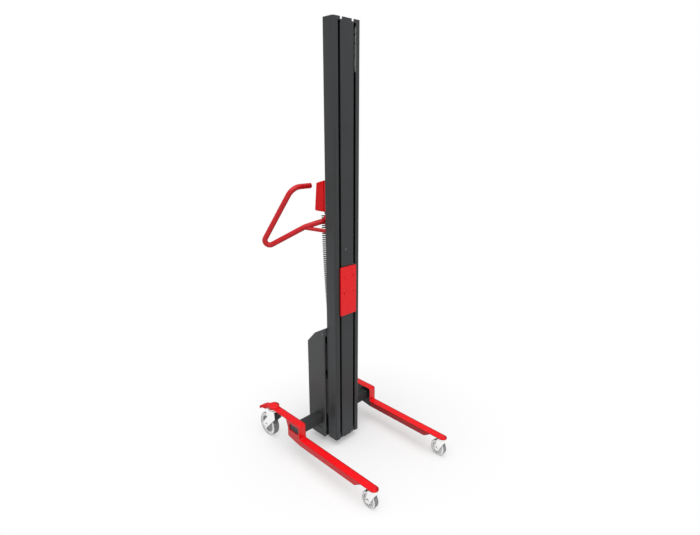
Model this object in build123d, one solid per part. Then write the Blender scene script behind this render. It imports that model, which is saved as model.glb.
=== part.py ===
from build123d import *
import math
import os

os.makedirs("parts", exist_ok=True)

# Mini stacker in millimetres, +Z up, legs to the front (-Y), floor at z = 0.
# Y is counted back from the front face of the mast; save() moves all pieces to the middle of the footprint.

# Fits
running = 0.05
clearance = 0.3
hole_play = 0.1

# Mast
mast_width = 158
mast_depth = 67.4
mast_height = 2000
mast_bottom = 36
mast_corner = 10
mast_wall = 3.5
web_thickness = 3
web_middle = 28.5
chamber_corner = 3
slot_offset = 45.2
slot_width = 13
slot_rounding = 1.5
foot_height = 25
foot_groove_depth = 8
foot_slot_depth = 6
foot_cross_groove = [20, 26]
cap_height = 14
cap_wall = 3
cap_pocket = 10
cap_notch = 12.5
foot_groove = 9
spigot_depth = 8
panel_screw_height = 1031
panel_screw_offset = -9
top_screw_setback = 9
screw_radius = 2.5
screw_head_radius = 5
screw_head_height = 2.2
screw_rounding = 1
screw_sink = 0.3
screw_length = 7

# Guide rails and carriage
rail_thickness = 3.5
rail_setback = 10
rail_width = 23
plate_width = 100
plate_thickness = 7
plate_gap = 1.5
plate_bottom = 711.5
plate_height = 237.5
plate_corner = 4
plate_hole_radius = 3.4
plate_hole_pitch_x = 60
plate_hole_pitch_z = 78
plate_hole_middle = 862
slider_neck = 8
slider_inset = 7.5
slider_play = 8
pad_reach = 15.5
pad_lip = 3.2
pad_height = 60

# Belt drive
belt_width = 18
belt_thickness = 2.6
belt_setback = 41
pulley_flange = 2
pulley_flange_rise = 2.5
pulley_play = 3.25
pulley_teeth = 18
pulley_groove_radius = 1.6
drive_height = 85
top_pulley_drop = 36
shaft_radius = 8
top_axle_radius = 6
bearing_radius = 13
bearing_length = 5
shaft_overhang = 34
axle_overhang = 3
axle_head_radius = 10
clamp_jaw = 3
clamp_height = 80
clamp_bottom = 790

# Base
leg_middle = 249.5
leg_width = 41.5
leg_sheet = 4
leg_reach = 435
leg_front_top = 105.8
leg_rear_top = 181.3
leg_step_gap = 7.4
leg_bend = 10
skirt_bottom = 76
skirt_rear = 164
skirt_tail = [(150, 137, 20), (150, 93, 3), (140, 89, 8), (100, 82, 20)]
skirt_belly = 54
skirt_nose_setback = 118
skirt_front_setback = 81
front_stem_setback = 22
tip_cap_radius = 9
tip_cap_height = 2
boss_radius = 29
boss_bottom = 175
boss_top = 190
boss_rounding = 2
boss_cover = 6
tube_setback = 16
tube_depth = 50
tube_height = 50
tube_wall = 3
tube_corner = 5
tube_bottom = 110.5
pad_half = 45
plug_depth = 10
plug_flange = 2
plug_lip = 3
window_height = 36
window_lift = 19
window_over = 5.5
mast_bolt_radius = 5
mast_bolt_pitch_x = 30
mast_bolt_pitch_z = 20
bolt_head_height = 6.5
bolt_head_radius = 9
bolt_nut_height = 8

# Drive casing
casing_half = 98
casing_wall = 2
casing_rear = 187
casing_corner_height = 541
casing_bend_setback = 130
casing_bend_height = 602
casing_top = 638
casing_flange_bottom = 596
casing_floor = 3
casing_return = 10
casing_rounding = 4
casing_screw_height = 609
casing_screw_inset = 27
cut_play = 1.5
cut_bottom = 79
lip_setback = 80
lip_gap = 4
shelf_sheet = 3
battery_gap = 5
battery_width = 150
battery_depth = 98
battery_height = 94
controller_width = 110
controller_depth = 40
controller_height = 150
controller_bottom = 390
motor_radius = 31
motor_length = 110
gearbox_width = 60
gearbox_height = 64
gearbox_drop = 41
gearbox_corner = 8
motor_offset = 2

# Handlebar
bar_radius = 12.5
bar_wall = 2
bar_middle_setback = 100
bar_middle_height = 1157
bar_half = [(62, 100, 1157), (125, 153, 1131), (290, 297.5, 1015.5), (171, 177, 1313.5), (64, 180, 1313)]
bar_bends = [50, 80, 22, 60]
bar_plug = 6
bracket_half = 40
bracket_sheet = 5
bracket_bottom = 1135
bracket_top = 1190
cheek_setback = 118
bracket_screw_radius = 4
bracket_screw_pitch_x = 36
bracket_screw_pitch_z = 37
stay_radius = 9
stay_foot = [52, 1111]
stay_tip = [122, 150, 1126]
stay_plate = 4
stay_plate_half = 12
stay_plate_reach = 18

# Control box
box_bottom = 1195
box_body_half = 37
box_lid_half = 40
box_joint = 117
box_wall = 2.5
box_front_top = 1352
box_ridge = [104, 1342]
box_rear_top = [165, 1325]
box_rear_bottom = 178
button_radius = 11
button_proud = 6
button_flange = 2
lid_rounding = 6
button_spread = 56

# Curly cord
cord_wire = 5.6
cord_coil_radius = 10.8
cord_pitch = 9.35
cord_turns = 57
cord_offset = -25
cord_top_setback = 131
cord_lean = 0.0273
cord_bow = 0.000073
cord_lead = 5.8
cord_bend = 5.5
gland_radius = 7
gland_height = 4.8
gland_length = 30
gland_spigot = 4

# Castors; an arm is listed from the wheel axle as (backwards, upwards)
front_castor = {
    "stem": front_stem_setback - leg_reach,
    "trail": 20.0,
    "wheel": 40.0,
    "width": 25.0,
    "plate": 3.0,
    "crown": 5.0,
    "crown_radius": 19.0,
    "race": 8.0,
    "race_radius": 22.0,
    "race_neck": 3.0,
    "race_neck_radius": 14.0,
    "pin": 6.0,
    "pin_head": 3.0,
    "axle": 5.0,
    "tyre": 7.0,
    "shoulder": 5.0,
    "rim": 5.0,
    "arm": [(-9, -14), (10, -8), (5, 22)],
    "under": leg_front_top - leg_sheet,
}
rear_castor = {
    "stem": 293.5,
    "trail": 44.5,
    "wheel": 62.5,
    "width": 36.0,
    "plate": 4.0,
    "crown": 7.0,
    "crown_radius": 30.0,
    "race": 6.0,
    "race_radius": 28.0,
    "race_neck": 1.5,
    "race_neck_radius": 24.0,
    "pin": 8.0,
    "pin_head": 5.0,
    "axle": 6.0,
    "tyre": 8.0,
    "shoulder": 6.0,
    "rim": 8.5,
    "arm": [(-78, 61.5), (-60, 43.5), (4, -25.5), (29, 0.5), (-15, 53.5), (-7, 75.5), (7, 83.5), (-11, 95.5)],
    "under": boss_bottom,
}
fork_play = 2.5
hood_drop = 8.0
pin_head_rim = 4.0
nut_height = 4.0
nut_rim = 3.5
wheel_web = 4.0
pedal_pivot = [24.0, 150.0]
pedal_pin = 3.0
pedal_hub = 7.0
pedal_tip = 12.0
pedal_tongue = [
    (-3, 5),
    (7, 10),
    (9, 19, 3),
    (54, 11, 30),
    (88, -8, 4),
    (85, -21, 3),
    (54, -3, 30),
    (12, 6, 8),
    (3, -5),
]
pedal_shoe = [(0, -6), (16, 6), (31, -10), (31, -17.5), (14, -17)]
shoe_half = 11.0
housing_front = -24.0
housing_rear = -5.0
housing_bottom = 112.0
housing_top = 152.0
housing_rounding = 5.0

# Worked-out places
rear_reach = rear_castor["stem"] + rear_castor["trail"] + rear_castor["wheel"]
mast_front = (leg_reach - rear_reach) / 2
skirt_nose = skirt_nose_setback - leg_reach
skirt_front = skirt_front_setback - leg_reach
mast_half = mast_width / 2
inner_half = mast_half - mast_wall
chamber_inner = web_middle + web_thickness / 2
chamber_width = inner_half - chamber_inner
belt_middle = (chamber_inner + inner_half) / 2
pulley_flange_radius = chamber_width / 2 - pulley_play
belt_pitch_radius = pulley_flange_radius - pulley_flange_rise
slider_inner = chamber_inner + slider_play
slider_outer = inner_half - pad_reach
belt_end = belt_setback + belt_width
profile_bottom = mast_bottom + foot_height
profile_top = mast_height - cap_height
top_pulley_height = profile_top - top_pulley_drop
tube_top = tube_bottom + tube_height
tube_front = mast_depth + tube_setback
tube_rear = tube_front + tube_depth
tube_middle = tube_front + tube_depth / 2
leg_outer = leg_middle + leg_width / 2
leg_inner = leg_middle - leg_width / 2
bolt_middle = tube_bottom + tube_height / 2
leg_step = mast_depth - leg_step_gap
window_bottom = tube_bottom + window_lift
window_rear = tube_rear + window_over
tube_end = leg_outer - leg_sheet - plug_flange
bracket_screw_middle = (bracket_bottom + bracket_top) / 2


def save(name, *solids):
    placed = [Pos(0, mast_front, 0) * solid for solid in solids]
    node = placed[0] if len(placed) == 1 else Compound(children=placed)
    export_step(node, os.path.join("parts", name + ".step"))


def block(x0, x1, y0, y1, z0, z1):
    return Pos((x0 + x1) / 2, (y0 + y1) / 2, (z0 + z1) / 2) * Box(x1 - x0, y1 - y0, z1 - z0)


def rod_x(x0, x1, y, z, radius):
    return Pos((x0 + x1) / 2, y, z) * Rot(0, 90, 0) * Cylinder(radius, x1 - x0)


def rod_y(y0, y1, x, z, radius):
    return Pos(x, (y0 + y1) / 2, z) * Rot(90, 0, 0) * Cylinder(radius, y1 - y0)


def rod_z(z0, z1, x, y, radius):
    return Pos(x, y, (z0 + z1) / 2) * Cylinder(radius, z1 - z0)


def hex_y(y0, y1, x, z, radius):
    outline = Plane.XZ * (Pos(x, z) * RegularPolygon(radius, 6))
    return Pos(0, y1, 0) * extrude(outline, amount=y1 - y0)


def column(z0, z1):
    outline = RectangleRounded(mast_width, mast_depth, mast_corner)
    return Pos(0, mast_depth / 2, z0) * extrude(outline, amount=z1 - z0)


def side_plate(points, x0, x1):
    places = [(point[0], point[1]) for point in points]
    radii = [point[2] if len(point) > 2 else 0 for point in points]
    if any(radii):
        outline = FilletPolyline(*places, radius=radii, close=True)
    else:
        outline = Polyline(*places, close=True)
    return Pos(x0, 0, 0) * extrude(Plane.YZ * make_face(outline), amount=x1 - x0)


def mirrored(shape):
    return mirror(shape, about=Plane.YZ)


def bent_edges(points, bends):
    edges = []
    last = Vector(*points[0])
    for index in range(1, len(points) - 1):
        corner = Vector(*points[index])
        into = (corner - Vector(*points[index - 1])).normalized()
        away = (Vector(*points[index + 1]) - corner).normalized()
        turn = math.acos(max(-1.0, min(1.0, into.dot(away))))
        back = bends[index - 1] * math.tan(turn / 2)
        start = corner - into * back
        finish = corner + away * back
        edges.append(Line(last, start))
        edges.append(TangentArc(start, finish, tangent=into))
        last = finish
    edges.append(Line(last, Vector(*points[-1])))
    return edges


# Mast
def is_slot_edge(edge):
    place = edge.center()
    return abs(place.Y) < clearance and abs(abs(place.X) - slot_offset) < slot_width


def make_mast_profile():
    body = column(profile_bottom, profile_top)
    rise = profile_top - profile_bottom
    back = mast_depth - mast_wall
    cavity = RectangleRounded(chamber_width, back - mast_wall, chamber_corner)
    for side in (-1, 1):
        middle = side * (chamber_inner + chamber_width / 2)
        body -= Pos(middle, mast_depth / 2, profile_bottom) * extrude(cavity, amount=rise)
        near = side * slot_offset - slot_width / 2
        body -= block(near, near + slot_width, -1, mast_wall + 1, profile_bottom, profile_top)
    body = fillet([edge for edge in body.edges().filter_by(Axis.Z) if is_slot_edge(edge)], slot_rounding)
    centre = web_middle - web_thickness / 2
    body -= block(-centre, centre, mast_wall, back, profile_bottom, profile_top)
    for x, z in bolt_places():
        body -= rod_y(back - 1, mast_depth + 1, x, z, mast_bolt_radius + hole_play)
    for x, z in bracket_screw_places():
        body -= rod_y(back - 1, mast_depth + 1, x, z, bracket_screw_radius + hole_play)
    body -= rod_y(back - 1, mast_depth + 1, belt_middle, drive_height, bearing_radius)
    body -= rod_y(back - 1, mast_depth + 1, belt_middle, top_pulley_height, top_axle_radius)
    body -= rod_y(-1, mast_wall + 1, panel_screw_offset, panel_screw_height, screw_radius)
    sink = screw_sink + screw_head_height
    return body - rod_y(-1, sink, panel_screw_offset, panel_screw_height, screw_head_radius + hole_play)


def spigot(z0, z1):
    half = web_middle - web_thickness / 2 - clearance
    return block(-half, half, mast_wall + clearance, mast_depth - mast_wall - clearance, z0, z1)


def end_grooves(width, y1, z0, z1):
    grooves = []
    near = web_middle - web_thickness / 2
    for side in (-1, 1):
        x0 = side * (near + width / 2) - width / 2
        grooves.append(block(x0, x0 + width, -1, y1, z0, z1))
    return grooves


def make_top_cap():
    cap = column(profile_top, mast_height)
    cap += spigot(profile_top - spigot_depth, profile_top)
    pocket = RectangleRounded(mast_width - 2 * cap_wall, mast_depth - 2 * cap_wall, mast_corner - cap_wall)
    pocket_floor = mast_height - cap_pocket
    cap -= Pos(0, mast_depth / 2, pocket_floor) * extrude(pocket, amount=cap_pocket + 1)
    for groove in end_grooves(cap_notch, cap_wall + 1, pocket_floor, mast_height + 1):
        cap -= groove
    cap += rod_z(pocket_floor - 1, mast_height, panel_screw_offset, top_screw_setback, screw_head_radius)
    bottom = mast_height - screw_length - 1
    return cap - rod_z(bottom, mast_height + 1, panel_screw_offset, top_screw_setback, screw_radius)


def make_base():
    base = column(mast_bottom, profile_bottom)
    base += spigot(profile_bottom, profile_bottom + spigot_depth)
    groove_top = mast_bottom + foot_groove_depth
    for groove in end_grooves(foot_groove, mast_depth + 1, mast_bottom - 1, groove_top):
        base -= groove
    for side in (-1, 1):
        near = side * slot_offset - slot_width / 2
        base -= block(near, near + slot_width, -1, foot_slot_depth, mast_bottom - 1, profile_bottom)
    y0, y1 = foot_cross_groove
    return base - block(-mast_half - 1, mast_half + 1, y0, y1, mast_bottom - 1, groove_top)


def make_mast_screws():
    x = panel_screw_offset
    back = screw_sink + screw_head_height
    front = rod_y(screw_sink, back, x, panel_screw_height, screw_head_radius)
    front = fillet(front.edges().group_by(Axis.Y)[0], screw_rounding)
    front += rod_y(back - 1, back + screw_length, x, panel_screw_height, screw_radius)
    top = rod_z(mast_height, mast_height + screw_head_height, x, top_screw_setback, screw_head_radius)
    top = fillet(top.edges().group_by(Axis.Z)[-1], screw_rounding)
    top += rod_z(mast_height - screw_length, mast_height + 1, x, top_screw_setback, screw_radius)
    return [front, top]


def rail_span():
    return profile_bottom + spigot_depth, profile_top - spigot_depth


def make_rails():
    z0, z1 = rail_span()
    rail = block(inner_half - rail_thickness, inner_half, rail_setback, rail_setback + rail_width, z0, z1)
    return [rail, mirrored(rail)]


# Carriage
def plate_hole_places():
    for x in (-plate_hole_pitch_x / 2, plate_hole_pitch_x / 2):
        for z in (plate_hole_middle - plate_hole_pitch_z / 2, plate_hole_middle + plate_hole_pitch_z / 2):
            yield x, z


def make_plate():
    outline = Plane.XZ * RectangleRounded(plate_width, plate_height, plate_corner)
    plate = extrude(outline, amount=plate_thickness)
    plate = Pos(0, -plate_gap, plate_bottom + plate_height / 2) * plate
    plate = fillet(plate.edges().group_by(Axis.Y)[0], 1)
    for x, z in plate_hole_places():
        plate -= rod_y(-plate_gap - plate_thickness - 1, 0, x, z, plate_hole_radius)
    return plate


slider_front = mast_wall + 1.5
pad_front = mast_wall + chamber_corner
slider_back = rail_setback + rail_width + clearance + pad_lip
slider_bottom = plate_bottom + slider_inset
slider_top = plate_bottom + plate_height - slider_inset


def make_sliders():
    body = block(slider_inner, slider_outer, slider_front, slider_back, slider_bottom, slider_top)
    neck = slider_neck / 2
    body += block(slot_offset - neck, slot_offset + neck, -plate_gap, slider_front, slider_bottom, slider_top)
    return [body, mirrored(body)]


def make_pads():
    pads = []
    face = inner_half - rail_thickness - clearance
    for z0 in (slider_bottom, slider_top - pad_height):
        pad = block(slider_outer, inner_half - clearance, pad_front, slider_back, z0, z0 + pad_height)
        gap0 = rail_setback - clearance
        gap1 = rail_setback + rail_width + clearance
        pad -= block(face, inner_half, gap0, gap1, z0 - 1, z0 + pad_height + 1)
        pads.append(pad)
        pads.append(mirrored(pad))
    return pads


def make_clamp():
    run = belt_middle - belt_pitch_radius
    half = belt_thickness / 2 + clearance
    x0 = run - half - clamp_jaw
    x1 = run + half + 2 * clamp_jaw
    clamp_top = clamp_bottom + clamp_height
    clamp = block(x0, x1, slider_back, belt_end, clamp_bottom, clamp_top)
    front = belt_setback - clearance
    return clamp - block(run - half, run + half, front, belt_end + 1, clamp_bottom - 1, clamp_top + 1)


# Belt drive
def make_belt():
    drop = top_pulley_height - drive_height
    outer = SlotCenterToCenter(drop, 2 * belt_pitch_radius + belt_thickness)
    inner = SlotCenterToCenter(drop, 2 * belt_pitch_radius - belt_thickness)
    ring = Plane.XZ * (Rot(0, 0, 90) * (outer - inner))
    belt = extrude(ring, amount=belt_width)
    return Pos(belt_middle, belt_end, (top_pulley_height + drive_height) / 2) * belt


def make_pulley(height, bore):
    radius = belt_pitch_radius - belt_thickness / 2 - clearance
    y0 = belt_setback - clearance
    y1 = belt_end + clearance
    wheel = rod_y(y0, y1, belt_middle, height, radius)
    for index in range(pulley_teeth):
        angle = 2 * math.pi * index / pulley_teeth
        x = belt_middle + radius * math.cos(angle)
        z = height + radius * math.sin(angle)
        wheel -= rod_y(y0 - 1, y1 + 1, x, z, pulley_groove_radius)
    wheel += rod_y(y0 - pulley_flange, y0, belt_middle, height, pulley_flange_radius)
    wheel += rod_y(y1, y1 + pulley_flange, belt_middle, height, pulley_flange_radius)
    return wheel - rod_y(y0 - 9, y1 + 9, belt_middle, height, bore)


shaft_end = mast_depth + shaft_overhang


def make_shaft():
    return rod_y(belt_setback - axle_overhang, shaft_end, belt_middle, drive_height, shaft_radius)


def make_bearing():
    ring = rod_y(mast_depth - bearing_length, mast_depth, belt_middle, drive_height, bearing_radius)
    return ring - rod_y(0, mast_depth + 1, belt_middle, drive_height, shaft_radius + running)


def make_top_axle():
    front = belt_setback - axle_overhang
    axle = rod_y(front, mast_depth, belt_middle, top_pulley_height, top_axle_radius)
    head_end = mast_depth + bolt_head_height
    return axle + hex_y(mast_depth, head_end, belt_middle, top_pulley_height, axle_head_radius)


# Base
def bolt_places():
    for x in (-mast_bolt_pitch_x / 2, mast_bolt_pitch_x / 2):
        for z in (bolt_middle - mast_bolt_pitch_z / 2, bolt_middle + mast_bolt_pitch_z / 2):
            yield x, z


def make_mast_bolts():
    back = mast_depth - mast_wall
    bolts = []
    for x, z in bolt_places():
        bolt = rod_y(back - 1.5 * bolt_nut_height, tube_rear, x, z, mast_bolt_radius)
        bolt += hex_y(tube_rear, tube_rear + bolt_head_height, x, z, bolt_head_radius)
        bolt += hex_y(back - bolt_nut_height, back, x, z, bolt_head_radius)
        bolts.append(bolt)
    return bolts


def make_tube():
    outer = RectangleRounded(tube_depth, tube_height, tube_corner)
    inner = RectangleRounded(tube_depth - 2 * tube_wall, tube_height - 2 * tube_wall, tube_corner - tube_wall)
    tube = extrude(Plane.YZ * (outer - inner), amount=tube_end, both=True)
    tube = Pos(0, tube_middle, bolt_middle) * tube
    z0 = tube_bottom + tube_corner
    tube += block(-pad_half, pad_half, mast_depth, tube_front + tube_wall / 2, z0, tube_top - tube_corner)
    for x, z in bolt_places():
        tube -= rod_y(mast_depth - 1, tube_rear + 1, x, z, mast_bolt_radius + hole_play)
    return tube


def make_plugs():
    inner = RectangleRounded(tube_depth - 2 * tube_wall, tube_height - 2 * tube_wall, tube_corner - tube_wall)
    plug = extrude(Plane.YZ * inner, amount=plug_depth)
    plug = Pos(tube_end - plug_depth, tube_middle, bolt_middle) * plug
    z0 = window_bottom - plug_lip
    z1 = window_bottom + window_height + plug_lip
    front = leg_step + leg_sheet + clearance
    plug += block(tube_end, tube_end + plug_flange, front, window_rear + plug_lip, z0, z1)
    return [plug, mirrored(plug)]


def make_leg():
    front_stem = front_castor["stem"]
    rear_stem = rear_castor["stem"]
    tip = leg_width / 2 - leg_reach
    under_front = leg_front_top - leg_sheet
    under_rear = leg_rear_top - leg_sheet
    strip = [
        (rear_stem, leg_rear_top),
        (leg_step, leg_rear_top, leg_bend),
        (leg_step, leg_front_top, leg_bend - leg_sheet),
        (tip, leg_front_top),
        (tip, under_front),
        (leg_step + leg_sheet, under_front, leg_bend),
        (leg_step + leg_sheet, under_rear, leg_bend - leg_sheet),
        (rear_stem, under_rear),
    ]
    leg = side_plate(strip, leg_inner, leg_outer)
    leg += rod_z(under_front, leg_front_top, leg_middle, tip, leg_width / 2)
    skirt = [
        (skirt_rear, under_rear),
        *skirt_tail,
        (skirt_belly, skirt_bottom, 30),
        (skirt_nose, skirt_bottom, 12),
        (skirt_front, under_front),
        (leg_step + leg_sheet, under_front, leg_bend),
        (leg_step + leg_sheet, under_rear, leg_bend - leg_sheet),
    ]
    leg += side_plate(skirt, leg_inner, leg_inner + leg_sheet)
    leg += side_plate(skirt, leg_outer - leg_sheet, leg_outer)
    leg += rod_z(boss_bottom, boss_top, leg_middle, rear_stem, boss_radius)
    leg = fillet(leg.edges().filter_by(GeomType.CIRCLE).group_by(Axis.Z)[-1], boss_rounding)
    leg += rod_z(leg_front_top, leg_front_top + tip_cap_height, leg_middle, front_stem, tip_cap_radius)
    leg -= rod_z(under_front - 1, leg_front_top, leg_middle, front_stem, front_castor["pin"])
    leg -= rod_z(boss_bottom - 1, boss_top - boss_cover, leg_middle, rear_stem, rear_castor["pin"])
    tube_hole = RectangleRounded(tube_depth, tube_height, tube_corner)
    tube_hole = extrude(Plane.YZ * tube_hole, amount=leg_sheet + 2)
    leg -= Pos(leg_inner - 1, tube_middle, bolt_middle) * tube_hole
    window_top = window_bottom + window_height
    near = leg_outer - leg_sheet - 1
    return leg - block(near, leg_outer + 1, mast_depth, window_rear, window_bottom, window_top)


# Drive casing
def casing_outline():
    return [
        (mast_depth, mast_bottom),
        (casing_rear, mast_bottom),
        (casing_rear, casing_corner_height),
        (casing_bend_setback, casing_bend_height),
        (mast_depth, casing_top),
    ]


def casing_screw_places():
    upper = (mast_depth + screw_head_radius + casing_wall, casing_screw_height)
    lower = (casing_rear - casing_screw_inset, mast_bottom + casing_floor + screw_head_radius)
    return [upper, lower]


def make_casing():
    cover = side_plate(casing_outline(), -casing_half, casing_half)
    cover = fillet(cover.edges().filter_by(Axis.X).group_by(Axis.Y)[-1], casing_rounding)
    inside = offset(make_face(Polyline(*casing_outline(), close=True)), amount=-casing_wall)
    inner = casing_half - casing_wall
    cover -= extrude(Plane.YZ * inside, amount=inner, both=True)
    gap = casing_half - casing_return
    front = mast_depth + casing_wall
    rear = casing_rear - casing_wall
    cover -= block(-gap, gap, mast_depth - 1, front + 1, mast_bottom - 1, casing_flange_bottom)
    cover -= block(-inner, inner, front, rear, mast_bottom - 1, mast_bottom + casing_floor)
    outer = casing_half + 1
    cut_front = tube_front - cut_play
    cover -= block(-outer, outer, cut_front, tube_rear + cut_play, cut_bottom, tube_top + cut_play)
    end = cord_bottom()
    cover -= rod_z(end.Z - 2 * gland_length, end.Z + gland_length, end.X, end.Y, gland_radius)
    for y, z in casing_screw_places():
        cover -= rod_x(-outer, outer, y, z, screw_radius)
    return cover


def make_casing_floor():
    inner = casing_half - casing_wall - hole_play
    front = mast_depth + casing_wall + hole_play
    rear = casing_rear - casing_wall - hole_play
    floor = block(-inner, inner, front, rear, mast_bottom, mast_bottom + casing_floor)
    for x0 in (-inner, inner - casing_floor):
        floor += block(x0, x0 + casing_floor, lip_setback, rear, mast_bottom, tube_bottom - lip_gap)
    y, z = casing_screw_places()[1]
    return floor - rod_x(-casing_half, casing_half, y, z, screw_radius)


def make_casing_screws():
    screws = []
    for y, z in casing_screw_places():
        head = rod_x(casing_half, casing_half + screw_head_height, y, z, screw_head_radius)
        head = fillet(head.edges().group_by(Axis.X)[-1], screw_rounding)
        screw = head + rod_x(casing_half - screw_length, casing_half + 1, y, z, screw_radius)
        screws.append(screw)
        screws.append(mirrored(screw))
    return screws


def make_shelf():
    half = battery_width / 2 + battery_gap
    rear = mast_depth + battery_depth + 2 * battery_gap
    return block(-half, half, mast_depth, rear, tube_top, tube_top + shelf_sheet)


def make_batteries():
    batteries = []
    for index in range(2):
        z0 = tube_top + shelf_sheet + index * battery_height
        half = battery_width / 2
        y0 = mast_depth + battery_gap
        battery = block(-half, half, y0, y0 + battery_depth, z0, z0 + battery_height)
        batteries.append(fillet(battery.edges().filter_by(Axis.Z), 4))
    return batteries


def make_controller():
    half = controller_width / 2
    top = controller_bottom + controller_height
    return block(-half, half, mast_depth, mast_depth + controller_depth, controller_bottom, top)


gearbox_rear = mast_depth + gearbox_width
gearbox_bottom = drive_height - gearbox_drop
gearbox_near = belt_middle - gearbox_width / 2


def make_gearbox():
    z0 = gearbox_bottom
    box = block(gearbox_near, gearbox_near + gearbox_width, mast_depth, gearbox_rear, z0, z0 + gearbox_height)
    box = fillet(box.edges().filter_by(Axis.Y), gearbox_corner)
    return box - rod_y(mast_depth - 1, shaft_end + 1, belt_middle, drive_height, shaft_radius + running)


def make_motor():
    y = mast_depth + gearbox_width / 2 + motor_offset
    z = gearbox_bottom + gearbox_height / 2
    body = rod_x(gearbox_near - motor_length, gearbox_near, y, z, motor_radius)
    return fillet(body.edges().filter_by(GeomType.CIRCLE).group_by(Axis.X)[0], 4)


# Handlebar
def bar_points():
    left = [(-x, y, z) for x, y, z in reversed(bar_half)]
    return left + list(bar_half)


def bar_bend_radii():
    return list(reversed(bar_bends)) + list(bar_bends)


def make_bar():
    edges = bent_edges(bar_points(), bar_bend_radii())
    path = Wire(edges)
    start = Plane(origin=path @ 0, z_dir=path % 0)
    bar = sweep(start * (Circle(bar_radius) - Circle(bar_radius - bar_wall)), path=path)
    finish = Plane(origin=path @ 1, z_dir=-(path % 1))
    for end in (start, finish):
        bar += extrude(end * Circle(bar_radius - bar_wall / 2), amount=bar_plug)
    return bar


def bracket_screw_places():
    for x in (-bracket_screw_pitch_x / 2, bracket_screw_pitch_x / 2):
        for dz in (-bracket_screw_pitch_z / 2, bracket_screw_pitch_z / 2):
            yield x, bracket_screw_middle + dz


def make_bracket():
    rear = mast_depth + bracket_sheet
    bracket = block(-bracket_half, bracket_half, mast_depth, rear, bracket_bottom, bracket_top)
    for x0 in (-bracket_half, bracket_half - bracket_sheet):
        cheek = [
            (mast_depth, bracket_bottom),
            (cheek_setback, bracket_bottom, 15),
            (cheek_setback, bracket_top - 10, 15),
            (mast_depth, bracket_top),
        ]
        bracket += side_plate(cheek, x0, x0 + bracket_sheet)
    bracket -= rod_x(-bracket_half - 1, bracket_half + 1, bar_middle_setback, bar_middle_height, bar_radius)
    for x, z in bracket_screw_places():
        bracket -= rod_y(mast_depth - 1, rear + 1, x, z, bracket_screw_radius + hole_play)
    return bracket


def make_bracket_screws():
    rear = mast_depth + bracket_sheet
    screws = []
    for x, z in bracket_screw_places():
        screw = rod_y(mast_depth - mast_wall - 6, rear, x, z, bracket_screw_radius)
        screws.append(screw + hex_y(rear, rear + 5, x, z, 7))
    return screws


def make_stays():
    foot = Vector(stay_foot[0], mast_depth, stay_foot[1])
    tip = Vector(*stay_tip)
    along = Plane(origin=foot, z_dir=tip - foot)
    stay = extrude(along * Circle(stay_radius), amount=(tip - foot).length)
    half = stay_plate_half
    reach = stay_plate_reach
    stay -= block(foot.X - 3 * half, foot.X + 3 * half, 0, mast_depth, foot.Z - 3 * reach, foot.Z + 3 * reach)
    rear = mast_depth + stay_plate
    stay += block(foot.X - half, foot.X + half, mast_depth, rear, foot.Z - reach, foot.Z + reach)
    arm = Plane(origin=bar_half[0], z_dir=Vector(*bar_half[1]) - Vector(*bar_half[0]))
    arm_rear = Plane(origin=bar_half[1], z_dir=Vector(*bar_half[2]) - Vector(*bar_half[1]))
    stay -= extrude(arm * Circle(bar_radius + hole_play), amount=100, both=True)
    stay -= extrude(arm_rear * Circle(bar_radius + hole_play), amount=80, both=True)
    stay = stay.solids().sort_by(SortBy.VOLUME)[-1]
    return [stay, mirrored(stay)]


# Control box
def box_top_at(setback):
    run = box_rear_top[0] - box_ridge[0]
    return box_ridge[1] + (setback - box_ridge[0]) * (box_rear_top[1] - box_ridge[1]) / run


def box_face():
    lean = math.atan2(box_rear_bottom - box_rear_top[0], box_rear_top[1] - box_bottom)
    middle = Vector(0, (box_rear_bottom + box_rear_top[0]) / 2, (box_bottom + box_rear_top[1]) / 2)
    return Plane(origin=middle, x_dir=(-1, 0, 0), z_dir=(0, math.cos(lean), math.sin(lean)))


def make_box_body():
    outline = [
        (mast_depth, box_bottom),
        (box_joint, box_bottom),
        (box_joint, box_top_at(box_joint)),
        (box_ridge[0], box_ridge[1]),
        (mast_depth, box_front_top),
    ]
    body = side_plate(outline, -box_body_half, box_body_half)
    inside = offset(make_face(Polyline(*outline, close=True)), amount=-box_wall)
    inner = box_body_half - box_wall
    body -= extrude(Plane.YZ * inside, amount=inner, both=True)
    top = box_top_at(box_joint) - 2 * box_wall
    return body - block(-inner, inner, box_joint - 10, box_joint + 1, box_bottom + box_wall, top)


def button_places():
    return {"up_button": button_spread / 2, "down_button": -button_spread / 2}


def make_box_lid():
    outline = [
        (box_joint, box_bottom),
        (box_rear_bottom, box_bottom),
        (box_rear_top[0], box_rear_top[1]),
        (box_joint, box_top_at(box_joint)),
    ]
    lid = side_plate(outline, -box_lid_half, box_lid_half)
    lid = fillet(lid.edges().filter_by(Axis.X).group_by(Axis.Y)[1:], lid_rounding)
    inside = offset(make_face(Polyline(*outline, close=True)), amount=-box_wall)
    inner = box_lid_half - box_wall
    lid -= extrude(Plane.YZ * inside, amount=inner, both=True)
    half = box_body_half - box_wall
    top = box_top_at(box_joint) - 2 * box_wall
    lid -= block(-half, half, box_joint - 1, box_joint + 10, box_bottom + box_wall, top)
    for lift in button_places().values():
        hole = extrude(box_face() * (Pos(0, lift) * Circle(button_radius + clearance)), amount=8, both=True)
        lid -= hole
    start = cord_top()
    return lid - rod_z(box_bottom - 1, box_bottom + box_wall + 1, start.X, start.Y, gland_spigot)


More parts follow.
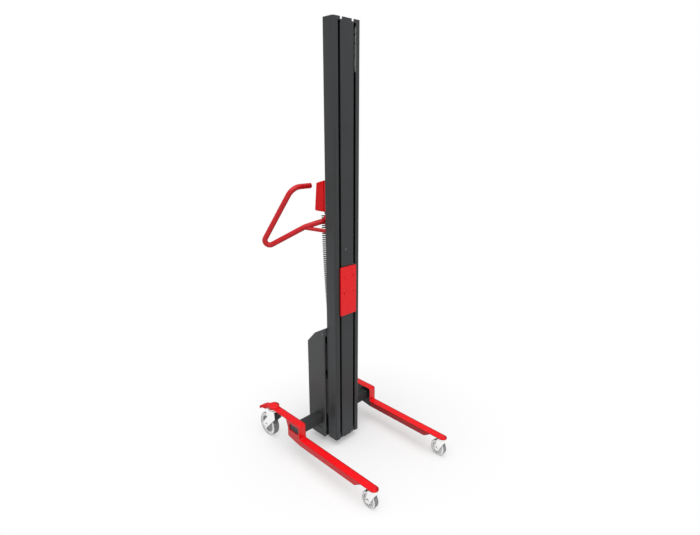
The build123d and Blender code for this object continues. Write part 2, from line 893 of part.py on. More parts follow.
def make_button(lift):
    face = box_face()
    cap = extrude(face * (Pos(0, lift) * Circle(button_radius)), amount=button_proud)
    cap = fillet(cap.edges().sort_by(Axis.Y)[-1], 1.5)
    depth = box_wall + clearance
    cap += extrude(face * (Pos(0, lift) * Circle(button_radius)), amount=-depth)
    under = Plane(origin=face.origin - face.z_dir * depth, x_dir=face.x_dir, z_dir=face.z_dir)
    return cap + extrude(under * (Pos(0, lift) * Circle(button_radius + 2)), amount=-button_flange)


# Curly cord
def cord_centre(drop):
    y = cord_top_setback - cord_lean * drop - cord_bow * drop * drop
    return Vector(cord_offset, y, coil_start - drop)


def cord_slope(drop):
    return Vector(0, -cord_lean - 2 * cord_bow * drop, -1).normalized()


def coil_point(turn):
    drop = turn * cord_pitch
    along = cord_slope(drop)
    across = Vector(1, 0, 0)
    square = along.cross(across)
    angle = 2 * math.pi * turn
    return cord_centre(drop) + across * (cord_coil_radius * math.cos(angle)) + square * (
        cord_coil_radius * math.sin(angle))


def coil_direction(turn):
    step = 0.001
    return (coil_point(turn + step) - coil_point(turn - step)).normalized()


def biarc(start, start_way, finish, finish_way):
    across = finish - start
    ways = start_way + finish_way
    spread = 2 * (1 - start_way.dot(finish_way))
    reach = across.dot(ways)
    if spread < 1e-9:
        length = across.dot(across) / (2 * reach)
    else:
        length = (-reach + math.sqrt(reach * reach + spread * across.dot(across))) / spread
    near = start + start_way * length
    far = finish - finish_way * length
    middle = (near + far) * 0.5
    return [TangentArc(start, middle, tangent=start_way), TangentArc(middle, finish, tangent=far - near)]


gland_face = box_bottom - gland_height
coil_start = gland_face - cord_lead - cord_bend


def cord_top():
    return coil_point(0) + Vector(0, cord_bend, cord_bend + cord_lead)


def cord_bottom():
    return coil_point(cord_turns) - Vector(0, cord_bend, cord_bend + cord_lead)


def cord_edges():
    lead = Vector(0, 0, -cord_lead)
    down = lead.normalized()
    edges = [Line(cord_top(), cord_top() + lead)]
    edges += biarc(cord_top() + lead, down, coil_point(0), coil_direction(0))
    for half in range(2 * cord_turns):
        start = half / 2
        finish = start + 0.5
        edges += biarc(coil_point(start), coil_direction(start), coil_point(finish), coil_direction(finish))
    edges += biarc(coil_point(cord_turns), coil_direction(cord_turns), cord_bottom() - lead, down)
    edges.append(Line(cord_bottom() - lead, cord_bottom()))
    return edges


def cord_gap():
    steps = 16
    points = [coil_point(index / steps) for index in range(cord_turns * steps + 1)]
    least = 1000.0
    for index in range(len(points)):
        for other in range(index + steps // 2, min(index + 3 * steps, len(points))):
            least = min(least, (points[other] - points[index]).length)
    return least - cord_wire


def make_cord():
    edges = cord_edges()
    path = Wire(edges)
    start = Plane(origin=path @ 0, z_dir=path % 0)
    area = math.pi * cord_wire * cord_wire / 4
    corner = math.sqrt(area / (1.5 * math.sqrt(3)))
    cord = sweep(start * RegularPolygon(corner, 6), path=path, clean=False)
    length = sum(edge.length for edge in edges)
    tightest = min(edge.radius for edge in edges if edge.geom_type == GeomType.CIRCLE)
    print("curly cord wire radius", cord_wire / 2, "coil radius", cord_coil_radius)
    print("curly cord tightest bend", round(tightest, 2), "least gap to itself", round(cord_gap(), 2))
    print("curly cord length", round(length, 1), "volume", round(cord.volume))
    print("curly cord section times length", round(area * length))
    return cord


def make_glands():
    start = cord_top()
    end = cord_bottom()
    upper = rod_z(gland_face, box_bottom, start.X, start.Y, gland_radius)
    upper += rod_z(box_bottom - 1, box_bottom + box_wall, start.X, start.Y, gland_spigot)
    lower = rod_z(end.Z - gland_length, end.Z, end.X, end.Y, gland_radius)
    return [upper, lower]


# Castors
def castor_half_gap(size):
    return size["width"] / 2 + fork_play


def crown_top(size):
    return size["under"] - size["race"] - clearance


def make_stems(size, top):
    y = size["stem"]
    under = size["under"]
    head_top = crown_top(size) - size["crown"] - clearance
    race_bottom = under - size["race"]
    stem = rod_z(race_bottom + size["race_neck"], under, leg_middle, y, size["race_radius"])
    stem += rod_z(race_bottom, under, leg_middle, y, size["race_neck_radius"])
    stem += rod_z(head_top - size["pin_head"], head_top, leg_middle, y, size["pin"] + pin_head_rim)
    stem += rod_z(head_top - 1, top, leg_middle, y, size["pin"])
    return [stem, mirrored(stem)]


def arm_points(size):
    axle_y = size["stem"] + size["trail"]
    return [(axle_y + back, size["wheel"] + rise) for back, rise in size["arm"]]


def drill_fork(fork, size):
    y = size["stem"]
    top = crown_top(size)
    outer = castor_half_gap(size) + size["plate"] + 1
    fork -= rod_x(leg_middle - outer, leg_middle + outer, y + size["trail"], size["wheel"], size["axle"])
    return fork - rod_z(top - size["crown"] - 1, top + 1, leg_middle, y, size["pin"] + running)


def hood(size, half, z0, z1):
    y = size["stem"]
    rear = y + size["trail"] + size["wheel"]
    return rod_z(z0, z1, leg_middle, y, half) + block(leg_middle - half, leg_middle + half, y, rear, z0, z1)


def make_front_fork():
    size = front_castor
    y = size["stem"]
    top = crown_top(size)
    half = castor_half_gap(size)
    outer = half + size["plate"]
    front = y - outer - 1
    side = [(front, top), (front, top - hood_drop), *arm_points(size), (y + size["crown_radius"], top)]
    fork = hood(size, outer, 0, top) - hood(size, half, -1, top - size["crown"])
    fork &= side_plate(side, leg_middle - outer - 1, leg_middle + outer + 1)
    return drill_fork(fork, size)


def make_rear_fork():
    size = rear_castor
    y = size["stem"]
    top = crown_top(size)
    half = castor_half_gap(size)
    outer = half + size["plate"]
    reach = size["crown_radius"]
    fork = rod_z(top - size["crown"], top, leg_middle, y, reach)
    side = [(y - reach, top), *arm_points(size), (y + reach, top)]
    for x0 in (leg_middle - outer, leg_middle + half):
        fork += side_plate(side, x0, x0 + size["plate"])
    fork += rod_x(leg_middle - outer, leg_middle + outer, y + pedal_pivot[0], pedal_pivot[1], pedal_pin)
    return drill_fork(fork, size)


def make_axle(size):
    y = size["stem"] + size["trail"]
    outer = castor_half_gap(size) + size["plate"]
    axle = rod_x(leg_middle - outer, leg_middle + outer, y, size["wheel"], size["axle"])
    for x0 in (leg_middle - outer - nut_height, leg_middle + outer):
        head = Plane.YZ * (Pos(y, size["wheel"]) * RegularPolygon(size["axle"] + nut_rim, 6))
        axle += Pos(x0, 0, 0) * extrude(head, amount=nut_height)
    return axle


def make_hub(size):
    y = size["stem"] + size["trail"]
    z = size["wheel"]
    rim = z - size["tyre"]
    half = size["width"] / 2 - 2
    hub = rod_x(leg_middle - half, leg_middle + half, y, z, rim)
    for x0 in (leg_middle - half - 1, leg_middle + wheel_web):
        hub -= rod_x(x0, x0 + half + 1 - wheel_web, y, z, rim - size["rim"])
    reach = castor_half_gap(size) - clearance
    hub += rod_x(leg_middle - reach, leg_middle + reach, y, z, 2 * size["axle"])
    return hub - rod_x(leg_middle - reach - 1, leg_middle + reach + 1, y, z, size["axle"] + running)


def make_tyre(size):
    y = size["stem"] + size["trail"]
    z = size["wheel"]
    half = size["width"] / 2
    tyre = rod_x(leg_middle - half, leg_middle + half, y, z, z)
    tyre = fillet(tyre.edges().filter_by(GeomType.CIRCLE), size["shoulder"])
    return tyre - rod_x(leg_middle - half - 1, leg_middle + half + 1, y, z, z - size["tyre"])


def make_brake_housing():
    y = rear_castor["stem"]
    half = castor_half_gap(rear_castor)
    front = y + housing_front
    body = block(leg_middle - half, leg_middle + half, front, y + housing_rear, housing_bottom, housing_top)
    return fillet(body.edges().filter_by(Axis.X).group_by(Axis.Y)[0], housing_rounding)


def from_pivot(points):
    y = rear_castor["stem"] + pedal_pivot[0]
    return [(y + point[0], pedal_pivot[1] + point[1], *point[2:]) for point in points]


def make_pedal():
    y = rear_castor["stem"] + pedal_pivot[0]
    z = pedal_pivot[1]
    half = castor_half_gap(rear_castor) - clearance
    tongue = side_plate(from_pivot(pedal_tongue), leg_middle - half, leg_middle + half)
    reach = max(point[0] for point in pedal_tongue)
    plan = Pos(leg_middle, y, 0) * extrude(RectangleRounded(2 * half, 2 * reach, pedal_tip), amount=2 * z)
    pedal = tongue & plan
    pedal += rod_x(leg_middle - half, leg_middle + half, y, z, pedal_hub)
    pedal += side_plate(from_pivot(pedal_shoe), leg_middle - shoe_half, leg_middle + shoe_half)
    return pedal - rod_x(leg_middle - half - 1, leg_middle + half + 1, y, z, pedal_pin + running)


save("mast_profile", make_mast_profile())
save("mast_top_cap", make_top_cap())
save("mast_base", make_base())
save("mast_screws", *make_mast_screws())
save("guide_rails", *make_rails())
save("carriage_plate", make_plate())
save("sliders", *make_sliders())
save("glide_pads", *make_pads())
save("belt_clamp", make_clamp())
save("drive_belt", make_belt())
save("drive_pulley", make_pulley(drive_height, shaft_radius))
save("top_pulley", make_pulley(top_pulley_height, top_axle_radius + running))
save("drive_shaft", make_shaft())
save("shaft_bearing", make_bearing())
save("top_pulley_axle", make_top_axle())
save("mast_bolts", *make_mast_bolts())
save("cross_tube", make_tube())
save("tube_plugs", *make_plugs())
leg = make_leg()
save("left_leg", mirrored(leg))
save("right_leg", leg)
save("casing_cover", make_casing())
save("casing_floor", make_casing_floor())
save("casing_screws", *make_casing_screws())
save("battery_shelf", make_shelf())
save("batteries", *make_batteries())
save("motor_controller", make_controller())
save("gearbox", make_gearbox())
save("drive_motor", make_motor())
save("handlebar", make_bar())
save("handlebar_bracket", make_bracket())
save("bracket_screws", *make_bracket_screws())
save("handlebar_stays", *make_stays())
save("control_box_body", make_box_body())
save("control_box_lid", make_box_lid())
for name, lift in button_places().items():
    save(name, make_button(lift))
save("cord_glands", *make_glands())
save("curly_cord", make_cord())
save("front_castor_stems", *make_stems(front_castor, leg_front_top))
save("rear_castor_stems", *make_stems(rear_castor, boss_top - boss_cover))
pedal = make_pedal()
save("left_brake_pedal", mirrored(pedal))
save("right_brake_pedal", pedal)
castors = {"front": (front_castor, make_front_fork()), "rear": (rear_castor, make_rear_fork())}
for place, (size, fork) in castors.items():
    pieces = {"fork": fork, "axle": make_axle(size), "hub": make_hub(size), "tyre": make_tyre(size)}
    if place == "rear":
        pieces["brake_housing"] = make_brake_housing()
    for piece, shape in pieces.items():
        save(place + "_left_" + piece, mirrored(shape))
        save(place + "_right_" + piece, shape)
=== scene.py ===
import bmesh
import bpy
import math
from mathutils import Matrix, Vector


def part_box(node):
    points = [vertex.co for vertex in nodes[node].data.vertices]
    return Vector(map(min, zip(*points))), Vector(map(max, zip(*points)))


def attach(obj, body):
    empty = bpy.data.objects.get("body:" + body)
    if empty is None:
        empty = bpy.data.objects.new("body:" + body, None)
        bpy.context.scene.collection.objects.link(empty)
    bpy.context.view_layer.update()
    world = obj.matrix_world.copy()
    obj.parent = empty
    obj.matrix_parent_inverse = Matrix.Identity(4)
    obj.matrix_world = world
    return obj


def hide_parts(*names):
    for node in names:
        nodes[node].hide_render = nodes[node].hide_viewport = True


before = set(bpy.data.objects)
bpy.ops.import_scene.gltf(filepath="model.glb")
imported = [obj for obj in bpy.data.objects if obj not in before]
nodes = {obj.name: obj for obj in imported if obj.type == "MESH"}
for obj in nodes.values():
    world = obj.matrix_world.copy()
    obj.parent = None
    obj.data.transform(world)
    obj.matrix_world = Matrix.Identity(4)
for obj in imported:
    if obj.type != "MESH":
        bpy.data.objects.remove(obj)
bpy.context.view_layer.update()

# Lengths are in metres; x runs to the right, y to the rear and z up

# Places read from the frame
MAST_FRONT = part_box("mast_profile")[0].y
MAST_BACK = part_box("mast_profile")[1].y
MAST_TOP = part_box("mast_profile")[1].z
CASING_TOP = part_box("casing_cover")[1].z
LEG_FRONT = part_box("left_leg")[0].y
TUBE_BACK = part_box("cross_tube")[1].y

# Camera at the photograph's viewpoint; angles in degrees, sensor in millimetres
IMAGE_WIDTH = 700
FOCAL_PIXELS = 478.38
SENSOR_WIDTH = 36.0
CAMERA_PLACE = (-1.4993, MAST_FRONT - 1.5389, 1.5708)
CAMERA_PITCH = 73.69
CAMERA_TURN = -44.57
CAMERA_REACH = 200.0

# Paint and finish colours, linear
RED = (0.82, 0.006, 0.010)
RED_PLASTIC = (0.72, 0.008, 0.010)
# The red coat darkened: painted shade for the round handlebar lit from above
SHADED_BAR_RED = (0.52, 0.008, 0.012)
PEDAL_RED = (0.66, 0.006, 0.009)
DARK_GREY = (0.027, 0.0293, 0.0305)
# Paler mast greys: painted light at the foot, low on the sides and beside the casing
FOOT_PAINTED_LIGHT = (0.034, 0.038, 0.040)
SIDE_PAINTED_LIGHT = (0.042, 0.046, 0.048)
CASING_GREY = (0.041, 0.044, 0.045)
# Painted light on the casing's flange, which lies in the mast's shade
FLANGE_PAINTED_LIGHT = (0.098, 0.104, 0.107)
STRIP_PAINTED_LIGHT = (0.076, 0.083, 0.086)
# Painted light on the right slot's upper lip
LIP_PAINTED_LIGHT = (0.42, 0.43, 0.44)
BATTERY_GREY = (0.085, 0.088, 0.092)
CONTROLLER_GREY = (0.19, 0.195, 0.20)
TUBE_GREY = (0.034, 0.035, 0.036)
BLACK = (0.012, 0.012, 0.013)
RUBBER = (0.010, 0.010, 0.011)
# Colour of dust and painted shade in recesses
DUST_AND_SHADE = (0.02, 0.02, 0.021)
TREAD_GREY = (0.25, 0.255, 0.26)
WHITE = (0.93, 0.93, 0.92)
DISH_GREY = (0.36, 0.36, 0.36)
ZINC = (0.62, 0.62, 0.63)
DULL_ZINC = (0.22, 0.22, 0.23)
BRIGHT_ZINC = (0.93, 0.93, 0.93)
LIGHT = (1.0, 1.0, 1.0)

# How every coat varies over its surface
CLOUD_SCALE = 6.0
CLOUD_DETAIL = 4.0
CLOUD_LOW = 0.3
CLOUD_HIGH = 0.7
GRAIN_DETAIL = 2.0
GRAIN_HEIGHT = 0.0002
GLOSS_SPREAD = 0.07
GLOSS_LEAST = 0.02
EDGE_SAMPLES = 6

# Wear begins and is full at these cosines between the softened and the flat surface
WEAR_FROM = 0.995
WEAR_TO = 0.80
WEAR_LIFT = 0.03
WEAR_GAIN = 1.5

# Dust and painted shade are full and gone at these shares of open sky
RECESS_SAMPLES = 8
RECESS_SHUT = 0.15
RECESS_OPEN = 0.75

# Finishes that several materials share
SPRAYED = {"drift": 0.03, "edge": 0.0015}
PLATED = {"drift": 0.02, "bump": 0.05, "Metallic": 1.0}
NYLON = {"drift": 0.03}

# Cosines between which a face that turns towards one side takes its second colour
FACE_TURNED = 0.6
FACE_SQUARE = 0.9
WALL_TURNED = 0.62
WALL_SQUARE = 0.85

# Wheels
WHEEL_OFFSET = 0.2495
DISH_EDGE = 0.010
DISH_FLAT = 0.005

# Legs and cross tube
# Painted shade on the legs: shares of the red on their outer and inner sides, the tip and the rolled right
# edge
OUTER_SHADE = 0.74
INNER_SHADE = 0.42
TIP_SHADE = 0.55
EDGE_SHADE = 0.45
TIP_RADIUS = 0.02075
TIP_FROM = 0.002
TIP_TO = 0.024
EDGE_FROM = 0.0135
EDGE_TO = 0.0200
LEG_INNER = 0.22875
TUBE_CORNER = 0.005
TUBE_DEPTH = 0.050
# Half length and blur of the black painted shadow on the legs' inner faces round the tube
TUBE_SHADOW_HALF = 0.056
TUBE_SHADOW_BLUR = 0.004

# Mast and guide rails
# Painted light on the mast: paler towards the foot, low on the sides, and in a strip along the rear beside
# the casing
FOOT_FROM = 0.70
FOOT_TO = 0.15
SIDE_FROM = 1.25
SIDE_FADE = 0.5
STRIP_WIDTH = 0.034
STRIP_FADE = 0.75
SLOT_LIP = 0.0517
LIP_DEPTH = 0.006
LIP_FROM = 0.0004
LIP_TO = 0.0002
# Height band of painted light on the guide rails and the right slot's lip, below the mast's open top
BRIGHT_MIDDLE = 1.886
BRIGHT_HALF = 0.087
BRIGHT_BLUR = 0.002
RAIL_THICKNESS = 0.0035
RAIL_BRIGHT_DEPTH = 0.0302
RAIL_BLUR = 0.001

# Curly cord and its glands, as the CAD has them
CORD_WIRE = 0.0056
CORD_COIL_RADIUS = 0.0108
CORD_PITCH = 0.00935
CORD_TURNS = 57
CORD_OFFSET = -0.025
CORD_TOP_SETBACK = 0.131
CORD_LEAN = 0.0273
CORD_BOW = 0.073
CORD_LEAD = 0.0058
CORD_BEND = 0.0055
CORD_STEPS = 12
CORD_ROUNDNESS = 3
CORD_SMOOTHNESS = 3
TURN_IN_SHARE = 0.6
TURN_IN_RISE = 0.0006
GLAND_HEIGHT = 0.0048
BOX_WALL = 0.0025

# Screws and nuts
HEXAGON = 6
STUD_TAPER = 0.85
SCREW_HEAD_RADIUS = 0.005
SOCKET_RADIUS = 0.0027
SOCKET_LIFT = 0.00015
RAIL_SCREW_DROP = 0.038
RAIL_SCREW_PITCH = 0.139
RAIL_PAIR_GAP = 0.033
RAIL_SCREW_SETBACK = 0.0285
RAIL_SCREW_RADIUS = 0.0038
RAIL_SCREW_SIDES = 8
GLAND_NUT_RADIUS = 0.0088
GLAND_NUT_HEIGHT = 0.0035
GLAND_NUT_TAPER = 0.94

# Button arrows; the buttons lean with the box's rear face, by its run and its rise
BUTTON_LEAN = math.atan2(0.013, 0.130)
ARROW_SIZE = 0.0055
ARROW_LIFT = 0.0003
FACE_TOLERANCE = 0.0001

# Welds
BAR_RADIUS = 0.0125
BAR_SETBACK = 0.100
BAR_HEIGHT = 1.157
WELD_RADIUS = 0.0022
WELD_ROUNDNESS = 2
RING_STEPS = 24
CORNER_STEPS = 4

# Stage
WORLD_LIGHT = 0.40
CEILING = 0.10
CEILING_FROM = 0.28
CEILING_TO = 0.55
FLOOR_HALF = 40.0
FLOOR_COLOUR = 0.66
FLOOR_COLOUR_SEEN = 0.80
# The floor glows more the further it lies from this point, set right of the middle, so the left leg's shadow
# is washed paler by painted light
FLOOR_SHADE_CENTRE = (0.12, 0.0, 0.0)
FLOOR_GLOW_NEAR = 0.32
FLOOR_GLOW_FAR = 1.0
FLOOR_NEAR = 0.2
FLOOR_FAR = 0.9

# Each lamp's place, the point that it faces, its size and its power in watts
LAMPS = {
    "overhead": ((-0.5, -0.95, 4.2), (0, 0, 0.5), 5.5, 235.0),
    "left_fill": ((-4.0, 0.4, 1.8), (0, 0, 0.8), 2.5, 10.0),
}


def link_object(name, data):
    """A new object in the scene."""
    holder = bpy.data.objects.new(name, data)
    bpy.context.scene.collection.objects.link(holder)
    return holder


# Camera
def make_camera():
    camera = bpy.data.cameras.new("photo_camera")
    camera.sensor_fit = "HORIZONTAL"
    camera.sensor_width = SENSOR_WIDTH
    camera.lens = FOCAL_PIXELS / IMAGE_WIDTH * SENSOR_WIDTH
    camera.clip_end = CAMERA_REACH
    holder = link_object("photo_camera", camera)
    holder.location = CAMERA_PLACE
    holder.rotation_euler = (math.radians(CAMERA_PITCH), 0.0, math.radians(CAMERA_TURN))
    bpy.context.scene.camera = holder


# Nodes
def add_node(tree, kind, inputs=None, **settings):
    """A node; each input is another node's output, a number or a colour."""
    node = tree.nodes.new(kind)
    for name, value in settings.items():
        setattr(node, name, value)
    for key, value in (inputs or {}).items():
        if isinstance(value, bpy.types.NodeSocket):
            tree.links.new(value, node.inputs[key])
        else:
            node.inputs[key].default_value = value
    return node


def combine(tree, operation, first, second=0.0):
    """A Math node's output; each term is another node's output or a number."""
    return add_node(tree, "ShaderNodeMath", {0: first, 1: second}, operation=operation).outputs["Value"]


def spread(tree, value, start, end, low=0.0, high=1.0, **settings):
    """A number that runs from low to high while a value runs from start to end."""
    limits = {"Value": value, "From Min": start, "From Max": end, "To Min": low, "To Max": high}
    return add_node(tree, "ShaderNodeMapRange", limits, **settings).outputs["Result"]


def axes(tree, kind):
    """The X, Y and Z parts of a place or a direction."""
    place = add_node(tree, "ShaderNodeTexCoord")
    return add_node(tree, "ShaderNodeSeparateXYZ", {"Vector": place.outputs[kind]}).outputs


def sideways(tree, kind):
    """Size of the sideways part of a place or a direction."""
    return combine(tree, "ABSOLUTE", axes(tree, kind)["X"])


def distance(tree, value, middle):
    """How far a value is from a middle, either way."""
    return combine(tree, "ABSOLUTE", combine(tree, "SUBTRACT", value, middle))


def add_noise(tree, scale, detail):
    place = add_node(tree, "ShaderNodeTexCoord").outputs["Object"]
    noise = add_node(tree, "ShaderNodeTexNoise", {"Vector": place, "Scale": scale, "Detail": detail})
    return noise.outputs["Fac"]


def shade(colour, factor=1.0):
    return tuple(min(1.0, channel * factor) for channel in colour) + (1.0,)


def mix_colours(tree, share, first, second):
    return add_node(tree, "ShaderNodeMix", {"Factor": share, "A": first, "B": second},
                    data_type="RGBA").outputs["Result"]


def mix_shaders(tree, share, first, second):
    return add_node(tree, "ShaderNodeMixShader", {"Fac": share, 1: first, 2: second}).outputs["Shader"]


# Materials
def finish_surface(name, colour, roughness, drift=0.08, grain=1400.0, bump=0.12, edge=0.0012, wear=0.0,
                   recess=0.0, reach=0.05, **sockets):
    """A coat with broad colour drift, fine grain in gloss and bump, softened edges and recesses darkened by
    dust and painted shade.
    """
    material = bpy.data.materials.new(name)
    material.use_nodes = True
    tree = material.node_tree
    shader = tree.nodes["Principled BSDF"]
    for socket, value in sockets.items():
        shader.inputs[socket.replace("_", " ")].default_value = value
    cloud = add_noise(tree, CLOUD_SCALE, CLOUD_DETAIL)
    ramp = add_node(tree, "ShaderNodeValToRGB", {"Fac": cloud})
    dark, pale = ramp.color_ramp.elements
    dark.position = CLOUD_LOW
    pale.position = CLOUD_HIGH
    dark.color = shade(colour, 1 - drift)
    pale.color = shade(colour, 1 + drift)
    tone = ramp.outputs["Color"]
    fine = add_noise(tree, grain, GRAIN_DETAIL)
    least = max(GLOSS_LEAST, roughness - GLOSS_SPREAD)
    most = min(1.0, roughness + GLOSS_SPREAD)
    tree.links.new(spread(tree, fine, 0.0, 1.0, least, most), shader.inputs["Roughness"])
    soft = add_node(tree, "ShaderNodeBevel", {"Radius": edge}, samples=EDGE_SAMPLES).outputs["Normal"]
    relief = add_node(tree, "ShaderNodeBump", {"Strength": bump, "Distance": GRAIN_HEIGHT, "Height": fine,
                                               "Normal": soft})
    tree.links.new(relief.outputs["Normal"], shader.inputs["Normal"])
    if wear > 0:
        tone = worn_edges(tree, soft, tone, colour, wear)
    if recess > 0:
        tone = dark_recesses(tree, tone, recess, reach)
    tree.links.new(tone, shader.inputs["Base Color"])
    return material


def worn_edges(tree, soft, tone, colour, wear):
    """A paler coat where the softened surface leaves the flat one."""
    flat = add_node(tree, "ShaderNodeNewGeometry").outputs["Normal"]
    facing = add_node(tree, "ShaderNodeVectorMath", {0: soft, 1: flat}, operation="DOT_PRODUCT")
    share = spread(tree, facing.outputs["Value"], WEAR_FROM, WEAR_TO, 0.0, wear)
    lifted = tuple(channel + WEAR_LIFT for channel in colour)
    return mix_colours(tree, share, tone, shade(lifted, WEAR_GAIN))


def dark_recesses(tree, tone, recess, reach):
    """Dust and painted shade where the surface is hemmed in."""
    open_sky = add_node(tree, "ShaderNodeAmbientOcclusion", {"Distance": reach}, samples=RECESS_SAMPLES)
    share = spread(tree, open_sky.outputs["AO"], RECESS_SHUT, RECESS_OPEN, recess, 0.0)
    return mix_colours(tree, share, tone, shade(DUST_AND_SHADE))


def second_colour(material, value, start, end, colour, factor=1.0):
    """Mix a second colour in where a value runs from start to end."""
    tree = material.node_tree
    base = tree.nodes["Principled BSDF"].inputs["Base Color"]
    share = spread(tree, value, start, end)
    tree.links.new(mix_colours(tree, share, base.links[0].from_socket, shade(colour, factor)), base)
    return material


def tyre_surface(name):
    """Grey tread, pale side walls: the split follows the tyre's own surface direction across the wheel;
    recesses darken with dust and painted shade.
    """
    material = finish_surface(name, TREAD_GREY, 0.62, drift=0.05, grain=900.0, bump=0.25, edge=0.001,
                              recess=0.7, reach=0.04)
    return second_colour(material, sideways(material.node_tree, "Normal"), WALL_TURNED, WALL_SQUARE, WHITE)


def dish_surface(name):
    """White rim, grey dish near the middle of the wheel's width."""
    material = finish_surface(name, WHITE, 0.4, **NYLON)
    tree = material.node_tree
    off_middle = distance(tree, sideways(tree, "Object"), WHEEL_OFFSET)
    return second_colour(material, off_middle, DISH_EDGE, DISH_FLAT, DISH_GREY)


def leg_surface(name):
    """Red coat with painted shade: darker on the outer and inner sides, the tip and the rolled right edge,
    and nearly black on the inner faces round the tube.
    """
    material = finish_surface(name, RED, 0.30, edge=0.005, drift=0.03, Specular_IOR_Level=0.35)
    tree = material.node_tree
    place = axes(tree, "Object")
    side = combine(tree, "SIGN", place["X"])
    outward = combine(tree, "MULTIPLY", axes(tree, "Normal")["X"], side)
    # Painted shade: outer sides a little darker, inner sides much darker
    second_colour(material, outward, FACE_TURNED, FACE_SQUARE, RED, OUTER_SHADE)
    second_colour(material, outward, -FACE_TURNED, -FACE_SQUARE, RED, INNER_SHADE)
    # Painted shadow: the inner faces near the tube go nearly black
    inward = combine(tree, "SUBTRACT", combine(tree, "MULTIPLY", outward, -1.0), FACE_TURNED)
    off_tube = distance(tree, place["Y"], TUBE_BACK - TUBE_DEPTH / 2)
    near_tube = combine(tree, "SUBTRACT", TUBE_SHADOW_HALF, off_tube)
    second_colour(material, combine(tree, "MINIMUM", inward, near_tube), 0.0, TUBE_SHADOW_BLUR, BLACK)
    # Painted shade on the tip and along the rolled right edge
    to_right = combine(tree, "SUBTRACT", place["X"], combine(tree, "MULTIPLY", side, WHEEL_OFFSET))
    to_front = combine(tree, "SUBTRACT", LEG_FRONT + TIP_RADIUS, place["Y"])
    second_colour(material, combine(tree, "ADD", to_right, to_front), TIP_FROM, TIP_TO, RED, TIP_SHADE)
    return second_colour(material, to_right, EDGE_FROM, EDGE_TO, RED, EDGE_SHADE)


def rail_surface(name):
    """Dark rail with painted light at its upper end near the slot, where light falls in from the mast's open
    top.
    """
    material = finish_surface(name, BLACK, 0.4)
    tree = material.node_tree
    place = axes(tree, "Object")
    height = distance(tree, place["Z"], BRIGHT_MIDDLE)
    # Painted light: pale within the band
    second_colour(material, height, BRIGHT_HALF, BRIGHT_HALF - BRIGHT_BLUR, WHITE)
    # The painted light stops deeper than this behind the slot
    dark_from = MAST_FRONT + RAIL_BRIGHT_DEPTH
    return second_colour(material, place["Y"], dark_from, dark_from + RAIL_BLUR, BLACK)


def mast_surface(name):
    """Dark coat with painted light: paler at the foot, low on the sides, beside the casing and on the right
    slot's upper lip.
    """
    material = finish_surface(name, DARK_GREY, 0.42, wear=0.2, edge=0.002, Specular_IOR_Level=0.3)
    tree = material.node_tree
    place = axes(tree, "Object")
    # Painted light: paler towards the foot, against the shade there
    second_colour(material, place["Z"], FOOT_FROM, FOOT_TO, FOOT_PAINTED_LIGHT)
    # Painted light: paler low on the sides
    side = combine(tree, "SUBTRACT", sideways(tree, "Normal"), FACE_TURNED)
    low = combine(tree, "MULTIPLY", combine(tree, "SUBTRACT", SIDE_FROM, place["Z"]), SIDE_FADE)
    second_colour(material, combine(tree, "MINIMUM", side, low), 0.0, FACE_SQUARE - FACE_TURNED, SIDE_PAINTED_LIGHT)
    # Painted light: a paler strip along the rear of the sides, where the casing shades the mast
    back = combine(tree, "SUBTRACT", place["Y"], MAST_BACK - STRIP_WIDTH)
    below = combine(tree, "SUBTRACT", CASING_TOP, place["Z"])
    second_colour(material, combine(tree, "MINIMUM", back, below), 0.0, STRIP_FADE * STRIP_WIDTH, STRIP_PAINTED_LIGHT)
    # Painted light: the right slot's upper lip is pale within the band lit from the open top
    off_end = combine(tree, "GREATER_THAN", distance(tree, place["Z"], BRIGHT_MIDDLE), BRIGHT_HALF)
    behind = combine(tree, "GREATER_THAN", place["Y"], MAST_FRONT + LIP_DEPTH)
    off_lip = distance(tree, place["X"], SLOT_LIP)
    away = combine(tree, "ADD", off_lip, combine(tree, "ADD", off_end, behind))
    return second_colour(material, away, LIP_FROM, LIP_TO, LIP_PAINTED_LIGHT)


def casing_surface(name):
    """Dark coat, paler on the flange that faces the mast: painted light against the mast's shade."""
    material = finish_surface(name, CASING_GREY, 0.45, wear=0.2, Specular_IOR_Level=0.4)
    rearward = axes(material.node_tree, "Normal")["Y"]
    # Painted light on faces turned to the front
    return second_colour(material, rearward, -FACE_TURNED, -FACE_SQUARE, FLANGE_PAINTED_LIGHT)


def floor_surface(name):
    """A pale floor that keeps the object's shadow and fades to white further off."""
    material = bpy.data.materials.new(name)
    material.use_nodes = True
    tree = material.node_tree
    tree.nodes.remove(tree.nodes["Principled BSDF"])
    seen = camera_rays(tree)
    tone = spread(tree, seen, 0.0, 1.0, FLOOR_COLOUR, FLOOR_COLOUR_SEEN)
    diffuse = add_node(tree, "ShaderNodeBsdfDiffuse", {"Color": tone}).outputs["BSDF"]
    glow = add_node(tree, "ShaderNodeEmission").outputs["Emission"]
    place = add_node(tree, "ShaderNodeNewGeometry").outputs["Position"]
    away = add_node(tree, "ShaderNodeVectorMath", {0: place, 1: FLOOR_SHADE_CENTRE}, operation="DISTANCE")
    lift = spread(tree, away.outputs["Value"], FLOOR_NEAR, FLOOR_FAR, FLOOR_GLOW_NEAR, FLOOR_GLOW_FAR,
                  interpolation_type="SMOOTHSTEP")
    total = mix_shaders(tree, combine(tree, "MULTIPLY", seen, lift), diffuse, glow)
    tree.links.new(total, tree.nodes["Material Output"].inputs["Surface"])
    return material


